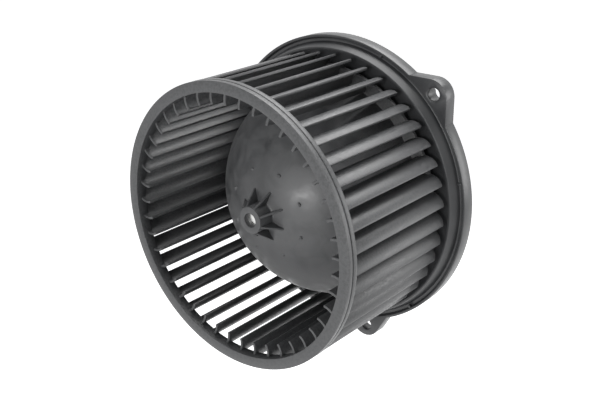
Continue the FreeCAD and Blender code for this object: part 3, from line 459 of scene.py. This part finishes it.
def at_mouth(edge):
    """Whether an edge lies round the front of the ear's hole."""
    ends = [ear.data.vertices[index].co for index in edge.vertices]
    return all(end.y < 0.1 * MM
               and math.hypot(end.x, end.z - screw_circle * MM) < (hole + 0.1) * MM for end in ends)


bpy.ops.object.mode_set(mode="EDIT")
pick(ear, "edges", at_mouth)
bpy.ops.mesh.bevel(offset=hole_rounding * MM, segments=4, affect="EDGES")
bpy.ops.object.mode_set(mode="OBJECT")
soften(ear, 0.3)
turn_about(ear, ear_turn - 90)
copies_about(ear, ears)

# Webs stand from the sleeve to the rim's wall, and posts for the cover's screws between them.
# Their ends are sunk in the walls that carry them.
webs = 12
web_thickness = 1.8
web_rear = 16
web_rear_at_rim = 6.4
sunk = 1.2
sunk_in_slope = 0.7
web_foot = sleeve - 0.9
web_end = rim - sunk
web = fin("web", [
    (web_foot, -sunk), (lip_inside - sunk_in_slope, -sunk),
    (trough_back - sunk_in_slope, trough_rear - sunk), (web_end, trough_rear - sunk),
    (web_end, web_rear_at_rim), (web_foot, web_rear),
], web_thickness, 0.25)
copies_about(web, webs)
posts = 3
post_circle = 44.4
post_round = 4.4
post_rear = 18
screw_bore = 1.7
screw_depth = 8.2
post = spun("post", [(screw_bore, screw_depth), (screw_bore, post_rear), (post_round, post_rear),
                     (post_round, -sunk), (0, -sunk), (0, screw_depth)], 40)
post.data.transform(Matrix.Translation((post_circle * MM, 0, 0)))
turn_about(post, 90)
copies_about(post, posts)

# Small nubs on the trough's outer wall, two to an ear.
first_nub = 13
second_nub = 70.5
nub_half = 0.7
nub_low = 79.3
nub_high = 81.3
nub = slab("nub", [(-nub_half, nub_low), (nub_half, nub_low), (nub_half, nub_high),
                   (-nub_half, nub_high)], 0.1, 2.1)
soften(nub, 0.25)
turn_about(nub, first_nub - 90)
other_nub = turned_copy(nub, second_nub - first_nub)
copies_about(nub, ears)
copies_about(other_nub, ears)
join(flange, [ear, web, post, nub, other_nub])
smooth(flange)

flange_plastic = finish("filled_plastic", (0.028, 0.029, 0.031), (0.050, 0.051, 0.053), 0.36,
                        spread=0.08, cloud=45, grain=1400, bump=0.02)
flange.data.materials.append(flange_plastic)
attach(flange, "housing")
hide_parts("mounting_flange")

# Rear cover. A cap moulded in black plastic, pushed over the sleeve and held by three screws
# through its lugs. It has air slots and a socket with two tinned blades for the vehicle's plug.

cover_plastic = finish("grained_plastic", (0.050, 0.051, 0.054), (0.066, 0.068, 0.071), 0.52,
                       cloud=60, grain=1300, bump=0.05)
dress(cover_plastic, "rear_cover")
plated = finish("plated_screw", (0.44, 0.44, 0.43), (0.60, 0.60, 0.58), 0.32,
                cloud=300, grain=2500, bump=0.01, metallic=1)
dress(plated, "cover_screws")
tin = finish("tinned_blade", (0.58, 0.57, 0.54), (0.74, 0.73, 0.70), 0.28,
             cloud=150, grain=2200, bump=0.006, metallic=1, draw=(1, 0.3, 1))
dress(tin, "terminal_right", "terminal_left")

# Fan wheel. One moulding in black polypropylene: a front ring, 44 blades that curve forward,
# a base disc and a dome over the motor, whose ribbed hub is pressed on the shaft.

wheel_radius = 75
mouth = 69.2
ring_front = -86
ring_rear = -80
groove_front = -83.4
groove_rear = -82.7
groove_floor = 74.6
wheel = spun("wheel_ring", [
    (mouth, ring_front), (wheel_radius, ring_front), (wheel_radius, groove_front),
    (groove_floor, groove_front), (groove_floor, groove_rear), (wheel_radius, groove_rear),
    (wheel_radius, ring_rear), (mouth, ring_rear),
], 264, soft=0.2)

# The disc, dome and hub are one turned section. The dome is part of a ball, and a fillet leads
# from it to the hub.
disc_rim = 69
disc_front = -8
disc_rear = -6
ball_outside = 62.3
ball_inside = 60.3
ball_middle = 0.25
hub = 7.2
hub_front = -71
hub_rear = -52
hub_bore = 3.5
bore_mouth = 3.8
bore_step = -68.5
fillet = 1
inside_top = 83
inside_edge = 5.95
disc_edge = math.degrees(math.asin((ball_middle - disc_front) / ball_outside))
hub_foot = math.degrees(math.acos((hub + fillet) / (ball_outside + fillet)))
fillet_height = ball_middle - (ball_outside + fillet) * math.sin(math.radians(hub_foot))
dome_outside = [(x, ball_middle - y)
                for x, y in arc((0, 0), ball_outside, disc_edge, hub_foot, 26)]
dome_inside = [(x, ball_middle - y)
               for x, y in arc((0, 0), ball_inside, inside_top, inside_edge, 26)]
hub_hollow = arc((hub + fillet, fillet_height), fillet, 180 - hub_foot, 180, 3)[1:]
hub_section = [(hub, hub_front), (bore_mouth, hub_front), (bore_mouth, bore_step),
               (hub_bore, bore_step), (hub_bore, hub_rear), (hub, hub_rear)]
dome = spun("wheel_dome", [(disc_rim, disc_rear), (disc_rim, disc_front)] + dome_outside
            + hub_hollow + hub_section + dome_inside, 264, soft=0.2)

# Ribs: wedges that lean from the hub down to the dome.
ribs = 8
rib_turn = 25.5
rib_thickness = 1.2
rib_front = -70.4
rib_root = -60.7
rib_inside = hub - 1
rib_foot = (15.3, -59.14)
rib = fin("rib", [(rib_inside, rib_front), (hub, rib_front), rib_foot, (rib_inside, rib_root)],
          rib_thickness, 0.2)
turn_about(rib, rib_turn)
copies_about(rib, ribs)

# The marks of the ejector pins: low round pads on the dome, in line with the ribs.
pad_circle = 23.3
pad_round = 1.1
pad_height = 0.12
pad_depth = 0.6
pad = spun("pin_mark", [(0, -pad_height), (pad_round, -pad_height), (pad_round + 0.2, pad_depth),
                        (0, pad_depth)], 24, soft=0.1)
pad_angle = math.asin(pad_circle / ball_outside)
pad_level = ball_middle - ball_outside * math.cos(pad_angle)
pad.data.transform(Matrix.Rotation(-pad_angle, 4, "Z"))
pad.data.transform(Matrix.Translation((pad_circle * MM, pad_level * MM, 0)))
turn_about(pad, rib_turn)
copies_about(pad, ribs)

# A blade: its front edge is drawn along the curve and swept back to a sheet, the outer rear
# corner is rounded, and the sheet gets its thickness and soft edges.
blades = 44
blade_turn = 3
blade_curve = 8.95
blade_middle = 65.1
inner_end = 196
outer_end = 100
blade_front = -83
blade_length = 77
blade_thickness = 1.35
corner = 2.6
corner_start = wheel_radius - corner
strip = arc((blade_curve, blade_middle), blade_curve, inner_end, outer_end, 16)
edge_points = [(x * MM, blade_front * MM, z * MM) for x, z in strip]
blade = begin("blade", edge_points[0])
draw_line(edge_points, closed=False)
bpy.ops.mesh.extrude_region_move(TRANSFORM_OT_translate={"value": (0, blade_length * MM, 0)})
bpy.ops.object.mode_set(mode="OBJECT")
for vertex in blade.data.vertices:
    past_start = math.hypot(vertex.co.x, vertex.co.z) / MM - corner_start
    at_rear = vertex.co.y > (blade_front + blade_length - 1) * MM
    if at_rear and past_start > 0:
        vertex.co.y -= (corner - math.sqrt(max(0, corner ** 2 - past_start ** 2))) * MM
modify(blade, "SOLIDIFY", thickness=blade_thickness * MM, offset=0)
soften(blade, 0.22)
turn_about(blade, blade_turn)
copies_about(blade, blades)
join(wheel, [dome, rib, pad, blade])
smooth(wheel)

# The dome's broad wall shows faint patches in its gloss and its colour: partly the moulding's own
# mottle and partly a painted sheen in the colour. The blades and ring are even.
wheel_plastic = finish("wheel_plastic", (0.052, 0.053, 0.055), (0.082, 0.083, 0.085), 0.44,
                       spread=0.11, cloud=90, grain=900, bump=0.03)
patchy_within = 54
even_beyond = 60
nodes = wheel_plastic.node_tree.nodes
links = wheel_plastic.node_tree.links
nodes["clouds"].inputs["Detail"].default_value = 8
nodes["clouds"].inputs["Distortion"].default_value = 0.6
nodes["gloss"].inputs["From Min"].default_value = 0.35
nodes["gloss"].inputs["From Max"].default_value = 0.65
place = nodes.new("ShaderNodeTexCoord")
across = nodes.new("ShaderNodeVectorMath")
across.operation = "MULTIPLY"
across.inputs[1].default_value = (1, 0, 1)
links.new(place.outputs["Object"], across.inputs[0])
from_shaft = nodes.new("ShaderNodeVectorMath")
from_shaft.operation = "LENGTH"
links.new(across.outputs["Vector"], from_shaft.inputs[0])
on_dome = nodes.new("ShaderNodeMapRange")
on_dome.inputs["From Min"].default_value = even_beyond * MM
on_dome.inputs["From Max"].default_value = patchy_within * MM
links.new(from_shaft.outputs["Value"], on_dome.inputs["Value"])
mottle_and_painted_sheen = nodes.new("ShaderNodeMix")
links.new(on_dome.outputs["Result"], mottle_and_painted_sheen.inputs["Factor"])
links.new(nodes["grains"].outputs["Fac"], mottle_and_painted_sheen.inputs["A"])
links.new(nodes["clouds"].outputs["Fac"], mottle_and_painted_sheen.inputs["B"])
# The dome's patches go into the base colour here, so part of its mottled sheen is painted into the
# colour.
links.new(mottle_and_painted_sheen.outputs["Result"], nodes["shades"].inputs["Fac"])
links.new(mottle_and_painted_sheen.outputs["Result"], nodes["gloss"].inputs["Value"])
wheel.data.materials.append(wheel_plastic)
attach(wheel, "rotor")
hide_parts("fan_wheel")

# Studio. A pale floor well below the held part, a white surround that the camera and the
# reflections see, and soft lamps above it, before it and behind it on the right.


def seen_direct(tree, strength):
    """The strength for what the camera, a reflection or a clear piece looks at, else nothing."""
    path = tree.nodes.new("ShaderNodeLightPath")
    total = path.outputs["Is Camera Ray"]
    for ray in ("Is Glossy Ray", "Is Transmission Ray"):
        either = tree.nodes.new("ShaderNodeMath")
        either.operation = "MAXIMUM"
        tree.links.new(total, either.inputs[0])
        tree.links.new(path.outputs[ray], either.inputs[1])
        total = either.outputs["Value"]
    scaled = tree.nodes.new("ShaderNodeMath")
    scaled.operation = "MULTIPLY"
    scaled.inputs[1].default_value = strength
    tree.links.new(total, scaled.inputs[0])
    return scaled.outputs["Value"]


bpy.ops.object.select_all(action="DESELECT")
bpy.ops.mesh.primitive_plane_add(size=8, location=(0, 0, -0.6))
floor = bpy.context.object
floor.name = "floor"
pale = bpy.data.materials.new("pale_floor")
pale.use_nodes = True
nodes = pale.node_tree.nodes
links = pale.node_tree.links
nodes["Principled BSDF"].inputs["Base Color"].default_value = (0.85, 0.85, 0.85, 1)
nodes["Principled BSDF"].inputs["Roughness"].default_value = 0.9
white = nodes.new("ShaderNodeEmission")
links.new(seen_direct(pale.node_tree, 0.8), white.inputs["Strength"])
both = nodes.new("ShaderNodeAddShader")
links.new(nodes["Principled BSDF"].outputs["BSDF"], both.inputs[0])
links.new(white.outputs["Emission"], both.inputs[1])
links.new(both.outputs["Shader"], nodes["Material Output"].inputs["Surface"])
floor.data.materials.append(pale)

world = bpy.data.worlds.new("studio")
bpy.context.scene.world = world
world.use_nodes = True
nodes = world.node_tree.nodes
links = world.node_tree.links
surround = nodes["Background"]
surround.inputs["Color"].default_value = (0.8, 0.82, 0.84, 1)
surround.inputs["Strength"].default_value = 0.3
backdrop = nodes.new("ShaderNodeBackground")
backdrop.inputs["Color"].default_value = (1, 1, 1, 1)
mix = nodes.new("ShaderNodeMixShader")
links.new(seen_direct(world.node_tree, 1), mix.inputs["Fac"])
links.new(surround.outputs["Background"], mix.inputs[1])
links.new(backdrop.outputs["Background"], mix.inputs[2])
links.new(mix.outputs["Shader"], nodes["World Output"].inputs["Surface"])


def lamp(name, place, width, watts):
    """A square soft lamp that faces the part, with its place and width in metres."""
    data = bpy.data.lights.new(name, "AREA")
    data.size = width
    data.energy = watts
    light = bpy.data.objects.new(name, data)
    light.location = place
    light.rotation_euler = (-Vector(place)).to_track_quat("-Z", "Y").to_euler()
    bpy.context.scene.collection.objects.link(light)


lamp("overhead", (0.0, 0.3, 0.8), width=0.8, watts=12)
lamp("front", (0.15, -1.5, 0.15), width=0.5, watts=13)
lamp("right", (1.15, 0.95, 0.15), width=0.8, watts=10)

bpy.context.scene.view_settings.view_transform = "Standard"
